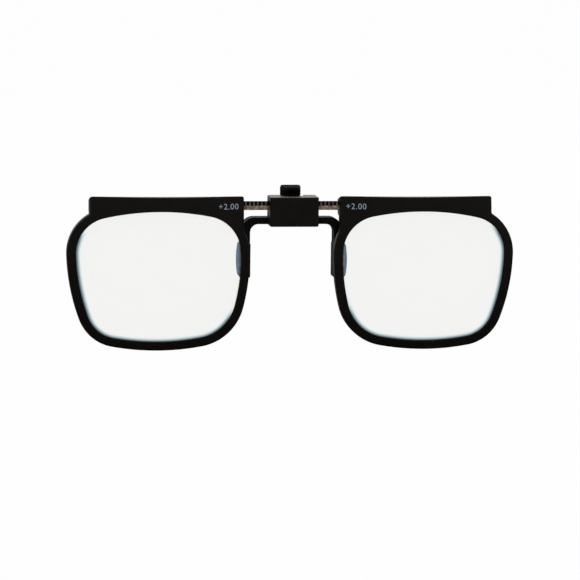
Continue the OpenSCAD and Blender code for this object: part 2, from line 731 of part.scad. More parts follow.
module thumb_lever() color("#0d0c0b") difference() {
    union() {
        intersection() {
            along_x(-housing_w, housing_w) polygon(tab_side());
            linear_extrude(2 * tab_back_top) polygon([
                [-tab_front_w / 2, tab_front], [tab_front_w / 2, tab_front],
                [tab_back_w / 2, tab_back], [-tab_back_w / 2, tab_back]
            ]);
            along_y(0, tab_back + cut)
                polygon(rounded(-tab_back_w / 2, 0, tab_back_w / 2, tab_back_top, tab_r));
        }
        block([-tab_front_w / 2, stem_y, stem_low], [tab_front_w / 2, stem_back, tab_under + tab_r]);
        block([hub_from, stem_y, -pivot_drop], [hub_to, stem_back, stem_low + tab_r]);
        pin_x(pivot_y, -pivot_drop, hub_r, hub_from, hub_to);
        block([hub_from, tongue_y, tongue_top - tab_r], [hub_to, pivot_y + hub_r, -pivot_drop]);
        block([-tongue_half, tongue_y, -arm_low], [tongue_half, yoke_y - seat, tongue_top]);
    }
    pin_x(pivot_y, -pivot_drop, pin_r + running, -housing_w, housing_w);
    both_sides() pin_y(rivet_x, -arm_mid, rivet_r + seat, yoke_y - rivet_reach - seat, yoke_back);
}

module claw_yoke() color("#161514") difference() {
    jaw_plate(yoke_y, yoke_back);
    both_sides() pin_y(rivet_x, -arm_mid, rivet_r + seat, 0, yoke_back + cut);
}

module yoke_rivets() color("#77777b") both_sides() {
    pin_y(rivet_x, -arm_mid, rivet_r, yoke_y - rivet_reach, yoke_back + seat + rivet_head_h / 2);
    pin_y(rivet_x, -arm_mid, rivet_head_r, yoke_back + seat, yoke_back + seat + rivet_head_h);
}

from_jaw() hinge_housing();
from_jaw() housing_base_cover();
from_jaw() base_cover_screws();
from_jaw() front_stop_bracket();
from_jaw() bracket_screws();
from_jaw() mirror([1, 0, 0]) boot(bracket_y, bracket_t);  // front_boot_left
from_jaw() boot(bracket_y, bracket_t);  // front_boot_right
from_jaw() claw_pivot_pin();
from_jaw() claw_torsion_spring();
from_jaw() flip_detent_spring();
from_jaw() thumb_lever();
from_jaw() claw_yoke();
from_jaw() yoke_rivets();
from_jaw() mirror([1, 0, 0]) boot(yoke_y, yoke_t);  // claw_boot_left
from_jaw() boot(yoke_y, yoke_t);  // claw_boot_right
from_jaw() flip_barrel();
from_jaw() toothed_strip();
from_jaw() bar_rail();
from_jaw() bar_dowel();
from_jaw() bar_stop_pins();
from_jaw() on_left() frame_shell();  // left_frame_shell
from_jaw() on_left() lens();  // left_lens
from_jaw() on_left() brow_cover();  // left_brow_cover
from_jaw() on_left() cover_screws();  // left_cover_screws
from_jaw() on_left() click_spring();  // left_click_spring
from_jaw() on_right() frame_shell();  // right_frame_shell
from_jaw() on_right() lens();  // right_lens
from_jaw() on_right() brow_cover();  // right_brow_cover
from_jaw() on_right() cover_screws();  // right_cover_screws
from_jaw() on_right() click_spring();  // right_click_spring
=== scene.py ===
# Clip-on reading glasses: detailed pieces, materials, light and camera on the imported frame.
# Lengths are in millimetres about the axis that the bar flips on, as in the part's source,
# and become metres in the frame when a piece is made. Places along a frame are measured
# outwards from the inner end of its brow.

import math

import bpy
import numpy as np
from mathutils import Matrix, Vector


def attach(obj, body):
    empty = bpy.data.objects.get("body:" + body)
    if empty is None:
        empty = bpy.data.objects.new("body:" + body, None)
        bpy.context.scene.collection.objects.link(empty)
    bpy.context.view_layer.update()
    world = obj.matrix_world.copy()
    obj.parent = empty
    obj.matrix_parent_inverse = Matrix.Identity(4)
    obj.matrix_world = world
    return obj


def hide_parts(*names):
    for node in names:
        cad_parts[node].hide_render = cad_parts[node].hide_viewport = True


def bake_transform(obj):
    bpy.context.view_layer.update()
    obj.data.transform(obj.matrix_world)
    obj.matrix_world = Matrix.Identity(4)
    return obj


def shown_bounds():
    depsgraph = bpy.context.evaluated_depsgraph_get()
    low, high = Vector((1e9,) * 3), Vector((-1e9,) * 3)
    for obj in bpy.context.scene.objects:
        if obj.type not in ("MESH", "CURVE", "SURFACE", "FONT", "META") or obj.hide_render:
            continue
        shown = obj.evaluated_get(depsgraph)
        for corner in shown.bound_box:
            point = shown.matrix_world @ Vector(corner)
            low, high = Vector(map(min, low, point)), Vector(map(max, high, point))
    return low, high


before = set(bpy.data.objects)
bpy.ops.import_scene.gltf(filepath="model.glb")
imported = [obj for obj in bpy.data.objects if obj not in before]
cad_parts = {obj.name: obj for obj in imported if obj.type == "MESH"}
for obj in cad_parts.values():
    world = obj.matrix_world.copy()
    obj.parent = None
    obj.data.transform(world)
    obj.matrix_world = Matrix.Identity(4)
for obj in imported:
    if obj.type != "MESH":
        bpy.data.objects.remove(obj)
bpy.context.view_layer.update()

MM = 0.001

# Sizes of the lens opening and rim
LENS_W = 43.7
LENS_H = 34.5
TOP_OUTER_R = 9.7
TOP_NOSE_R = 10.0
BOTTOM_NOSE_R = 11.2
BOTTOM_OUTER_R = 8.8
BOW_RADII = (66.0, 52.0, 68.0, 52.0)
TOP_BOW = 1.4
BOTTOM_BOW = 0.9
NOSE_RISE = 0.3
NOSE_TAPER = 1.25
OUTER_TAPER = 2.7
RIM_W = 2.4
RIM_DEPTH = 3.0
BASE_R = 120.0
WRAP_SHIFT = 2.1
FRONT_BULGE = 5.0
LENS_RECESS = 0.45
LENS_T = 2.1
LENS_BACK_R = 150.0
LENS_BACK_Y = LENS_RECESS + LENS_T + LENS_BACK_R - FRONT_BULGE
LENS_BITE = 0.5
OUTLINE_LENGTH = 140.0
MIN_ARC_STEPS = 3

# Sizes of the brow
BROW_LEN = 40.9
LENS_IN = 22.7
LENS_DROP = 18.65
BROW_TOP = 2.7
BROW_DIP = 0.25
BROW_BACK_TOP = 1.4
BROW_LOW = 2.7
BROW_SKIRT = 6.5
BROW_CORNER_R = 0.7
BROW_BACK = 3.297
BROW_LOW_BACK = 2.367
COVER_SPLIT = 1.4
COVER_INSET = 0.4
COVER_SCREW_X = (19.6, 37.0)
COVER_SCREW_Z = 0.35
TONGUE_START = 0.3
TONGUE_LAP = 0.3

# Sizes of the bar and the places of the two frames on it
PITCH = 1.06
BROW_GAP = 12.3
LEFT_GAP = BROW_GAP + PITCH
BAR_TOP = 1.15
STRIP_T = 0.5
RAIL_T = 0.5
SLIDING = 0.1
RUNNING = 0.05
CHANNEL_START = -2.0
CHANNEL_LEN = 15.9
CHANNEL_LAP = 0.1
SEAT = 0.03
FAR_BACK = 9.0

# Sizes of the jaw
BRACKET_Y = 2.0
BRACKET_T = 1.2
BOOT_WALL = 0.6
JAW_GAP = 0.25
YOKE_T = 1.1
JAW_Y = BRACKET_Y + BRACKET_T + BOOT_WALL + JAW_GAP / 2
YOKE_Y = JAW_Y + JAW_GAP / 2 + BOOT_WALL
JAW_Z = 14.8
ARM_DROP = 3.3
ARM_H = 1.9
ARM_LOW = ARM_DROP + ARM_H
LEG_X = 12.3
LEG_W = 2.2
LEG_END = 17.4
BEND_OUTER_R = 3.3
BEND_INNER_R = 2.2
BOOT_OUT = 0.65
BOOT_TOP = 10.1
BOOT_FOOT = 19.5
BOOT_W = 4.0
BOOT_R = 0.5
BOOT_NOSE_TRIM = 0.15
BOOT_BELLY_R = 24.0
BOOT_BELLY_EDGE_R = 0.9
RIB_DEPTH = 0.05
RIB_PITCH = 0.9
RIB_MARGIN = 0.5
SCREW_HEAD_R = 0.75
SCREW_HEAD_H = 0.4

# Sizes of the housing and the lever
HOUSING_W = 13.0
HOUSING_TOP = 2.45
HOUSING_LOW = 5.4
HOUSING_FRONT = 3.2
HOUSING_BACK = YOKE_Y - 0.25
BARREL_R = 1.45
SLOT_W = 6.4
SLOT_FRONT_LOW = 1.85
SLOT_FRONT_HIGH = 1.3
SLOT_SLOPE_H = 3.45
WEB_TOP = 2.3
BASE_HALF_W = 5.43
BASE_FRONT = -2.73
BASE_BACK = 1.68
BASE_T = 0.6
BRACKET_SCREW_X = 4.7
PIVOT_Y = 3.1
PIVOT_Z = -1.0
HUB_R = 1.15
PIN_R = 0.6
STEM_Y = 2.5
STEM_T = 1.4
STEM_LOW = 0.23
STEM_HIGH = 3.9
NECK_TOP = 0.83
TAB_FRONT_W = 3.8
TAB_BACK_W = 5.8
TAB_FRONT = 2.0
TAB_BACK = 7.0
TAB_FRONT_TOP = 4.6
TAB_BACK_TOP = 5.0
TAB_FOOT = 1.9
TAB_UNDER = 3.35
TONGUE_HALF = 2.9
TONGUE_Y = 3.55
TONGUE_TOP = -2.33
TONGUE_WEB_LAP = 0.6
HUB_FROM = -3.05
HUB_TO = 1.01
WIRE_R = 0.14
COIL_R = 0.94
COIL_FROM = 1.25
COIL_LEN = 1.65
COIL_TO = COIL_FROM + COIL_LEN
COIL_TURNS = 2
COIL_TURN_STEPS = 24
COIL_LEG_BENDS = (0.6, 1.9)
COIL_LEG_ENDS = (0.5, 1.0)

# Radii of rounded edges and filled corners
FINE_R = 0.05
PIN_EDGE_R = 0.06
SEAT_EDGE_R = 0.08
SMALL_R = 0.1
BORE_EDGE_R = 0.12
MIDDLE_R = 0.15
PLATE_EDGE_R = 0.18
COVER_EDGE_R = 0.2
OPENING_EDGE_R = 0.22
BROW_EDGE_R = 0.25
STEM_R = 0.25
SOFT_R = 0.3
BOOT_EDGE_R = 0.32
TAB_UNDER_R = 0.35
RIM_EDGE_R = 0.4
TAB_SIDE_R = 0.7
TAB_TOP_R = 0.75
HOUSING_UPRIGHT_R = 0.8

# Sizes of the grid cells of the meshes, and the corners of their grids
FRAME_STEP = 0.2
COVER_STEP = 0.15
BLOCK_STEP = 0.12
LEVER_STEP = 0.1
FRAME_GRID = ((-2.0, -5.2, -38.6), (47.4, 1.9, 2.9))
COVER_GRID = ((-0.3, 0.4, -3.0), (41.2, 3.5, 3.0))
LEVER_GRID = ((-3.1, 1.8, -5.25), (3.1, 7.0, 5.0))
GRID_LEAD = 1.5
GRID_TAIL = 2.5
SLOPE_FLOOR = 0.05
SNAP_ROUNDS = 3
SNAP_REACH = 0.4
SNAP_STEP = 0.05
NORMAL_STEP = 0.1
TINY = 1e-9


# Distance fields: negative inside the material, in millimetres
def both(a, b, r):
    """Where a and b overlap, with the edge between them rounded to radius r."""
    outside = np.hypot(np.maximum(a + r, 0.0), np.maximum(b + r, 0.0))
    return np.minimum(np.maximum(a, b), -r) + outside


def either(a, b, r):
    """a and b together, with the corner between them filled to radius r."""
    return -both(-a, -b, r)


def without(a, b, r):
    """a with b cut out of it, and the new edge rounded to radius r."""
    return both(a, -b, r)


def slab(v, low, high):
    return np.maximum(low - v, v - high)


def box_field(x, y, z, low, high, r):
    """A block with all its edges rounded to radius r."""
    flat = both(slab(x, low[0], high[0]), slab(z, low[2], high[2]), r)
    return both(flat, slab(y, low[1], high[1]), r)


# Outline of a lens opening: four corner circles joined by four shallow arcs
HALF_W = LENS_W / 2
HALF_H = LENS_H / 2
CORNERS = (
    (HALF_W - TOP_OUTER_R, HALF_H - TOP_BOW - TOP_OUTER_R, TOP_OUTER_R),
    (TOP_NOSE_R - HALF_W, HALF_H - TOP_BOW - TOP_NOSE_R + NOSE_RISE, TOP_NOSE_R),
    (BOTTOM_NOSE_R + NOSE_TAPER - HALF_W, BOTTOM_NOSE_R + BOTTOM_BOW - HALF_H, BOTTOM_NOSE_R),
    (HALF_W - OUTER_TAPER - BOTTOM_OUTER_R, BOTTOM_OUTER_R + BOTTOM_BOW - HALF_H, BOTTOM_OUTER_R),
)


def bow_centre(p, q, r):
    """Centre of the arc of radius r that runs round two corner circles and touches both."""
    a = r - p[2]
    b = r - q[2]
    dx = q[0] - p[0]
    dz = q[1] - p[1]
    length = math.hypot(dx, dz)
    along = (a * a - b * b + length * length) / 2 / length
    across = math.sqrt(a * a - along * along)
    return (
        p[0] + (dx * along - dz * across) / length,
        p[1] + (dz * along + dx * across) / length,
    )


def outline_arcs():
    """The eight arcs of the outline as (centre x, centre z, radius, first angle, last angle)."""
    arcs = []
    bows = [bow_centre(CORNERS[i], CORNERS[(i + 1) % 4], BOW_RADII[i]) for i in range(4)]
    for i in range(4):
        corner = CORNERS[i]
        after = CORNERS[(i + 1) % 4]
        before_bow = bows[i - 1]
        bow = bows[i]
        first = math.atan2(corner[1] - before_bow[1], corner[0] - before_bow[0])
        middle = math.atan2(corner[1] - bow[1], corner[0] - bow[0])
        last = math.atan2(after[1] - bow[1], after[0] - bow[0])
        middle += math.tau if middle < first else 0.0
        last += math.tau if last < middle else 0.0
        arcs.append((corner[0], corner[1], corner[2], first, middle))
        arcs.append((bow[0], bow[1], BOW_RADII[i], middle, last))
    return arcs


ARCS = outline_arcs()
DEEP_INSIDE = -6.0


def opening_field(x, z):
    """Distance outside the outline of the lens opening."""
    u = x - LENS_IN
    w = z + LENS_DROP
    best = np.full(np.broadcast(u, w).shape, DEEP_INSIDE)
    for cx, cz, r, first, last in ARCS:
        turn = np.mod(np.arctan2(w - cz, u - cx) - first, math.tau)
        distance = np.hypot(u - cx, w - cz) - r
        best = np.where(turn <= last - first, np.maximum(best, distance), best)
    return best


def outline_points(grow, count):
    """Points round the outline, spaced evenly by turn within each arc, with their outward normals."""
    points = []
    normals = []
    for cx, cz, r, first, last in ARCS:
        steps = max(MIN_ARC_STEPS, round(count * (last - first) * r / OUTLINE_LENGTH))
        for k in range(steps):
            angle = first + (last - first) * k / steps
            points.append((cx + (r + grow) * math.cos(angle), cz + (r + grow) * math.sin(angle)))
            normals.append((math.cos(angle), math.sin(angle)))
    return np.array(points), np.array(normals)


BALL_X = LENS_IN - WRAP_SHIFT
BALL_Y = BASE_R - FRONT_BULGE


def ball_field(x, y, z):
    """Distance outside the ball that the front of a frame follows."""
    reach = np.sqrt((x - BALL_X) ** 2 + (y - BALL_Y) ** 2 + (z + LENS_DROP) ** 2)
    return reach - BASE_R


def front_y(x, z):
    """Depth of the front of a frame."""
    return BALL_Y - np.sqrt(BASE_R**2 - (x - BALL_X) ** 2 - (z + LENS_DROP) ** 2)


SLOPE_Y = float(front_y(0.0, BROW_TOP))
SLOPE = math.atan2(BROW_TOP - BROW_BACK_TOP, BROW_BACK - SLOPE_Y)
CHAMFER = math.atan2(BROW_LOW - BROW_BACK_TOP, BROW_BACK - BROW_LOW_BACK)


def brow_field(x, y, z):
    """The brow: its top edge dips between two rounded corners and slopes down to the back."""
    top = BROW_TOP - BROW_DIP * 4 * x * (BROW_LEN - x) / BROW_LEN**2
    upper = both(slab(x, 0.0, BROW_LEN), z - top, BROW_CORNER_R)
    face = np.maximum(upper, -BROW_SKIRT - z)
    slope = (z - BROW_TOP) * math.cos(SLOPE) + (y - SLOPE_Y) * math.sin(SLOPE)
    return both(face, slope, BROW_EDGE_R)


def lens_field(x, y, z, grow):
    """The lens, grown all round so that its seat can be cut out of the rim."""
    front = ball_field(x, y, z) + LENS_RECESS - grow
    reach = np.sqrt((x - BALL_X) ** 2 + (y - LENS_BACK_Y) ** 2 + (z + LENS_DROP) ** 2)
    back = LENS_BACK_R - grow - reach
    return np.maximum(np.maximum(opening_field(x, z) - LENS_BITE - grow, front), back)


def frame_field(x, y, z):
    """Rim and brow in one moulding, open at the back along the bar."""
    opening = opening_field(x, z)
    front = ball_field(x, y, z)
    brow = brow_field(x, y, z)
    face = either(opening - RIM_W, brow, SOFT_R)
    plate = both(face, front, RIM_EDGE_R)
    plate = both(plate, -front - RIM_DEPTH, RIM_EDGE_R)
    core = both(brow, np.maximum(front, -BROW_LOW - z), SOFT_R)
    core = both(core, y - COVER_SPLIT, SEAT_EDGE_R)
    body = np.minimum(plate, core)
    body = without(body, opening, OPENING_EDGE_R)
    body = np.maximum(body, -lens_field(x, y, z, SEAT))
    along = slab(x, CHANNEL_START, CHANNEL_LEN)
    deep = slab(y, -STRIP_T - SLIDING, COVER_SPLIT + CHANNEL_LAP)
    channel = np.maximum(np.maximum(along, deep), np.abs(z) - BAR_TOP - SLIDING)
    return without(body, channel, SMALL_R)


def cover_field(x, y, z):
    """Cover that closes the back of a brow, with a tongue behind the bar."""
    body = both(brow_field(x, y, z), slab(y, COVER_SPLIT + SEAT, BROW_BACK), COVER_EDGE_R)
    lower = -(z + BROW_LOW)
    chamfer = (y - BROW_LOW_BACK) * math.sin(CHAMFER) - (z + BROW_LOW) * math.cos(CHAMFER)
    body = both(body, lower, MIDDLE_R)
    body = both(body, chamfer, SOFT_R)
    body = np.maximum(body, ball_field(x, y, z) + RIM_DEPTH + SEAT)
    along = slab(x, TONGUE_START, CHANNEL_LEN - SEAT)
    deep = slab(y, RAIL_T + SLIDING, COVER_SPLIT + TONGUE_LAP)
    tongue = np.maximum(np.maximum(along, deep), np.abs(z) - BAR_TOP - SLIDING + SEAT)
    body = np.minimum(body, tongue)
    body = without(body, opening_field(x, z) - COVER_INSET, SMALL_R)
    seat_from = BROW_BACK - SCREW_HEAD_H
    for screw_x in COVER_SCREW_X:
        round_seat = np.hypot(x - screw_x, z - COVER_SCREW_Z) - (SCREW_HEAD_R + SEAT)
        head = np.maximum(round_seat, slab(y, seat_from, FAR_BACK))
        body = without(body, head, SEAT_EDGE_R)
    return body


def plate_outline(x, z):
    """Front view of the arms and legs that the fixed bracket and the claw yoke share."""
    side = np.abs(x)
    outer = both(side - LEG_X - LEG_W / 2, z + ARM_DROP, BEND_OUTER_R)
    inner = both(side - LEG_X + LEG_W / 2, z + ARM_LOW, BEND_INNER_R)
    return np.maximum(np.maximum(outer, -inner), -LEG_END - z)


def bracket_field(x, y, z):
    return both(plate_outline(x, z), slab(y, BRACKET_Y, BRACKET_Y + BRACKET_T), PLATE_EDGE_R)


def yoke_field(x, y, z):
    return both(plate_outline(x, z), slab(y, YOKE_Y, YOKE_Y + YOKE_T), PLATE_EDGE_R)


def boot_outline(x, z):
    """Front view of a boot: straight towards the nose, a shallow arc on the other side."""
    u = x - LEG_X - BOOT_OUT
    middle = -(BOOT_TOP + BOOT_FOOT) / 2
    nose_side = -u - BOOT_W / 2 + BOOT_NOSE_TRIM
    belly = np.hypot(u - BOOT_W / 2 + BOOT_BELLY_R, z - middle) - BOOT_BELLY_R
    body = both(nose_side, slab(z, -BOOT_FOOT, -BOOT_TOP), BOOT_R)
    return both(body, belly, BOOT_BELLY_EDGE_R)


def boot_field(y_low, y_high, grip):
    """Rubber boot between two depths, with ribs across the face that grips."""

    def field(x, y, z):
        outline = boot_outline(x, z)
        ribs = RIB_DEPTH * np.cos(math.tau * (z + BOOT_FOOT) / RIB_PITCH)
        inset = np.where(outline < -RIB_MARGIN, ribs, 0.0) / 2 + RIB_DEPTH
        low = y_low + (inset if grip < 0 else 0.0)
        high = y_high - (inset if grip > 0 else 0.0)
        return both(outline, np.maximum(low - y, y - high), BOOT_EDGE_R)

    return field


def housing_field(x, y, z):
    """Hinge housing: a rounded block with the barrel's bore, the lever's slot and screw seats."""
    across = slab(x, -HOUSING_W / 2, HOUSING_W / 2)
    plan = both(across, slab(y, -HOUSING_FRONT, HOUSING_BACK), HOUSING_UPRIGHT_R)
    body = both(plan, slab(z, -HOUSING_LOW, HOUSING_TOP), SOFT_R)
    bore = np.hypot(y, z) - BARREL_R - RUNNING
    body = without(body, bore, BORE_EDGE_R)
    rise = np.clip(z / SLOT_SLOPE_H, 0.0, 1.0)
    wall = SLOT_FRONT_LOW - (SLOT_FRONT_LOW - SLOT_FRONT_HIGH) * rise
    in_slot = np.abs(x) - SLOT_W / 2
    upper = np.maximum(np.maximum(wall - y, -WEB_TOP - z), in_slot)
    lower = np.maximum(BRACKET_Y + BRACKET_T + SEAT - y, in_slot)
    body = without(body, np.minimum(upper, lower), MIDDLE_R)
    slit_deep = slab(y, BRACKET_Y - SEAT, BRACKET_Y + BRACKET_T + SEAT)
    slit_high = slab(z, -ARM_LOW - SEAT, -ARM_DROP + SEAT)
    body = without(body, np.maximum(slit_deep, slit_high), FINE_R)
    base_plan = np.maximum(np.abs(x) - BASE_HALF_W, slab(y, BASE_FRONT, BASE_BACK))
    base = np.maximum(base_plan, z + HOUSING_LOW - BASE_T)
    body = without(body, base, FINE_R)
    arm_mid = -(ARM_DROP + ARM_H / 2)
    round_seat = np.hypot(np.abs(x) - BRACKET_SCREW_X, z - arm_mid) - SCREW_HEAD_R - SEAT
    head = np.maximum(round_seat, HOUSING_BACK - SCREW_HEAD_H - y)
    body = without(body, head, SEAT_EDGE_R)
    pin = np.hypot(y - PIVOT_Y, z - PIVOT_Z) - PIN_R - SEAT
    return without(body, pin, PIN_EDGE_R)


TAB_RISE = math.atan2(TAB_BACK_TOP - TAB_FRONT_TOP, TAB_BACK - TAB_FRONT)
TAB_FLARE = math.atan2((TAB_BACK_W - TAB_FRONT_W) / 2, TAB_BACK - TAB_FRONT)


def lever_field(x, y, z):
    """Thumb lever: a tab that flares to its back, a stem, a neck, the hub on the pin and a tongue."""
    back = y - TAB_FRONT
    top = (z - TAB_FRONT_TOP) * math.cos(TAB_RISE) - back * math.sin(TAB_RISE)
    side = (np.abs(x) - TAB_FRONT_W / 2) * math.cos(TAB_FLARE) - back * math.sin(TAB_FLARE)
    tab = both(side, slab(y, TAB_FRONT, TAB_BACK), TAB_SIDE_R)
    tab = both(tab, top, TAB_TOP_R)
    reach = np.clip((y - STEM_Y) / STEM_T, 0.0, 1.0)
    under = TAB_UNDER - (TAB_UNDER - TAB_FOOT) * reach - z
    tab = both(tab, under, TAB_UNDER_R)
    half = TAB_FRONT_W / 2
    stem_back = STEM_Y + STEM_T
    stem = box_field(x, y, z, (-half, STEM_Y, STEM_LOW), (half, stem_back, STEM_HIGH), STEM_R)
    body = either(tab, stem, SOFT_R)
    neck = box_field(x, y, z, (HUB_FROM, STEM_Y, PIVOT_Z), (HUB_TO, stem_back, NECK_TOP), SMALL_R)
    body = np.minimum(body, neck)
    turning = np.hypot(y - PIVOT_Y, z - PIVOT_Z)
    hub = both(turning - HUB_R, slab(x, HUB_FROM, HUB_TO), SMALL_R)
    body = np.minimum(body, hub)
    web_low = (HUB_FROM, TONGUE_Y, TONGUE_TOP - TONGUE_WEB_LAP)
    web = box_field(x, y, z, web_low, (HUB_TO, PIVOT_Y + HUB_R, PIVOT_Z), SMALL_R)
    body = np.minimum(body, web)
    tongue_low = (-TONGUE_HALF, TONGUE_Y, -ARM_LOW)
    tongue_high = (TONGUE_HALF, YOKE_Y - SEAT, TONGUE_TOP)
    tongue = box_field(x, y, z, tongue_low, tongue_high, MIDDLE_R)
    body = either(body, tongue, SMALL_R)
    return without(body, turning - PIN_R - RUNNING, FINE_R)


# Closed meshes of quads on the surface where a field is zero
def field_slope(field, points, h):
    """The field at the points, and its slope from samples at a distance of h either way."""
    x, y, z = points.T
    value = field(x, y, z)
    slope = np.stack(
        [
            field(x + h, y, z) - field(x - h, y, z),
            field(x, y + h, z) - field(x, y - h, z),
            field(x, y, z + h) - field(x, y, z - h),
        ],
        1,
    )
    return value, slope / (2 * h)


def surface(field, low, high, step):
    """Points, faces and normals; one point per grid cell that the surface passes through."""
    axes = [
        np.arange(a - GRID_LEAD * step, b + GRID_TAIL * step, step) for a, b in zip(low, high)
    ]
    shape = tuple(len(a) for a in axes)
    values = np.broadcast_to(field(*np.ix_(*axes)), shape)
    inside = values < 0
    cells = tuple(n - 1 for n in shape)
    keys = []
    spots = []
    for axis in range(3):
        low_end = [slice(None)] * 3
        high_end = [slice(None)] * 3
        low_end[axis] = slice(0, -1)
        high_end[axis] = slice(1, None)
        crossing = inside[tuple(low_end)] != inside[tuple(high_end)]
        edge = np.argwhere(crossing)
        a = values[tuple(low_end)][crossing]
        b = values[tuple(high_end)][crossing]
        spot = np.stack([axes[k][edge[:, k]] for k in range(3)], 1)
        spot[:, axis] += a / (a - b) * step
        first = (axis + 1) % 3
        second = (axis + 2) % 3
        quad = []
        for back_first, back_second in ((1, 1), (0, 1), (0, 0), (1, 0)):
            cell = edge.copy()
            cell[:, first] -= back_first
            cell[:, second] -= back_second
            quad.append(np.ravel_multi_index(tuple(cell.T), cells))
        quad = np.stack(quad, 1)
        quad[a > 0] = quad[a > 0][:, ::-1]
        keys.append(quad)
        spots.append(spot)
    keys = np.concatenate(keys)
    spots = np.concatenate(spots)
    _, index = np.unique(keys.ravel(), return_inverse=True)
    index = index.ravel()
    total = np.bincount(index)
    points = np.stack(
        [np.bincount(index, weights=np.repeat(spots[:, k], 4)) / total for k in range(3)], 1
    )
    faces = index.reshape(-1, 4)
    for _ in range(SNAP_ROUNDS):
        value, slope = field_slope(field, points, step * SNAP_STEP)
        size = np.maximum((slope**2).sum(1), SLOPE_FLOOR)
        move = -(value / size)[:, None] * slope
        length = np.maximum(np.linalg.norm(move, axis=1, keepdims=True), TINY)
        points = points + move * np.minimum(1.0, SNAP_REACH * step / length)
    _, slope = field_slope(field, points, step * NORMAL_STEP)
    normals = slope / np.maximum(np.linalg.norm(slope, axis=1, keepdims=True), TINY)
    return points, faces, normals


def mirrored(vectors):
    return vectors * np.array([-1.0, 1.0, 1.0])


def on_right(points):
    return points + np.array([BROW_GAP, 0.0, 0.0])


def on_left(points):
    return mirrored(points + np.array([LEFT_GAP, 0.0, 0.0]))


def to_frame(points):
    """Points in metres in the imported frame."""
    return (points + np.array([0.0, -JAW_Y, JAW_Z])) * MM


def make_piece(name, points, faces, material, body, nodes=(), normals=None):
    """A mesh piece that stands for the given nodes, and rides on a body where one is given."""
    mesh = bpy.data.meshes.new(name)
    mesh.from_pydata(to_frame(points).tolist(), [], [list(map(int, f)) for f in faces])
    mesh.validate()
    mesh.polygons.foreach_set("use_smooth", [True] * len(mesh.polygons))
    if normals is not None and len(normals) == len(mesh.vertices):
        mesh.normals_split_custom_set_from_vertices(normals.tolist())
    mesh.materials.append(material)
    piece = bpy.data.objects.new(name, mesh)
    bpy.context.scene.collection.objects.link(piece)
    if body:
        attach(piece, body)
    if nodes:
        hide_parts(*nodes)
    return piece


# Materials
LENS_CLARITY = 0.95


def new_material(name):
    material = bpy.data.materials.new(name)
    material.use_nodes = True
    nodes = material.node_tree.nodes
    return material, nodes, material.node_tree.links, nodes["Principled BSDF"]


def set_inputs(shader, values):
    for key, value in values.items():
        shader.inputs[key].default_value = value


def noise(nodes, links, place, scale, detail):
    texture = nodes.new("ShaderNodeTexNoise")
    texture.inputs["Scale"].default_value = scale
    texture.inputs["Detail"].default_value = detail
    links.new(place, texture.inputs["Vector"])
    return texture.outputs["Fac"]


def ramp(nodes, links, factor, stops):
    node = nodes.new("ShaderNodeValToRGB")
    elements = node.color_ramp.elements
    while len(elements) < len(stops):
        elements.new(0.5)
    for element, (position, colour) in zip(elements, stops):
        element.position = position
        element.color = (*colour, 1.0)
    links.new(factor, node.inputs["Fac"])
    return node.outputs["Color"]


def spread(nodes, links, factor, low, high):
    node = nodes.new("ShaderNodeMapRange")
    node.inputs["To Min"].default_value = low
    node.inputs["To Max"].default_value = high
    links.new(factor, node.inputs["Value"])
    return node.outputs["Result"]


def bump(nodes, links, height, distance, strength):
    node = nodes.new("ShaderNodeBump")
    node.inputs["Distance"].default_value = distance
    node.inputs["Strength"].default_value = strength
    links.new(height, node.inputs["Height"])
    return node.outputs["Normal"]


def moulded_plastic(name, dark, light, rough_low, rough_high, specular, grain):
    """Moulded plastic with a fine spark-eroded grain and faint clouding."""
    material, nodes, links, shader = new_material(name)
    place = nodes.new("ShaderNodeTexCoord").outputs["Object"]
    cloud = noise(nodes, links, place, scale=260.0, detail=3.0)
    links.new(ramp(nodes, links, cloud, ((0.35, dark), (0.65, light))), shader.inputs["Base Color"])
    links.new(spread(nodes, links, cloud, rough_low, rough_high), shader.inputs["Roughness"])
    pores = noise(nodes, links, place, scale=9000.0, detail=2.0)
    links.new(bump(nodes, links, pores, distance=0.00002, strength=grain), shader.inputs["Normal"])
    set_inputs(shader, {"Specular IOR Level": specular})
    return material


def coated_metal(name):
    """Black coated sheet metal: fine orange peel over the steel."""
    material, nodes, links, shader = new_material(name)
    place = nodes.new("ShaderNodeTexCoord").outputs["Object"]
    peel = noise(nodes, links, place, scale=1800.0, detail=2.0)
    cloud = noise(nodes, links, place, scale=300.0, detail=3.0)
    colours = ((0.3, (0.0024, 0.0022, 0.0021)), (0.7, (0.0042, 0.0039, 0.0037)))
    links.new(ramp(nodes, links, cloud, colours), shader.inputs["Base Color"])
    links.new(spread(nodes, links, cloud, low=0.26, high=0.4), shader.inputs["Roughness"])
    links.new(bump(nodes, links, peel, distance=0.00003, strength=0.25), shader.inputs["Normal"])
    set_inputs(shader, {"Specular IOR Level": 0.06})
    return material


def gloss_plastic(name):
    """Glossy black plastic with very faint flow lines."""
    material, nodes, links, shader = new_material(name)
    place = nodes.new("ShaderNodeTexCoord").outputs["Object"]
    flow = noise(nodes, links, place, scale=420.0, detail=2.0)
    colours = ((0.3, (0.0012, 0.0011, 0.0011)), (0.7, (0.0024, 0.0022, 0.0022)))
    links.new(ramp(nodes, links, flow, colours), shader.inputs["Base Color"])
    links.new(spread(nodes, links, flow, low=0.3, high=0.4), shader.inputs["Roughness"])
    links.new(bump(nodes, links, flow, distance=0.00002, strength=0.12), shader.inputs["Coat Normal"])
    set_inputs(shader, {"Specular IOR Level": 0.0, "Coat Weight": 0.05, "Coat Roughness": 0.1})
    return material


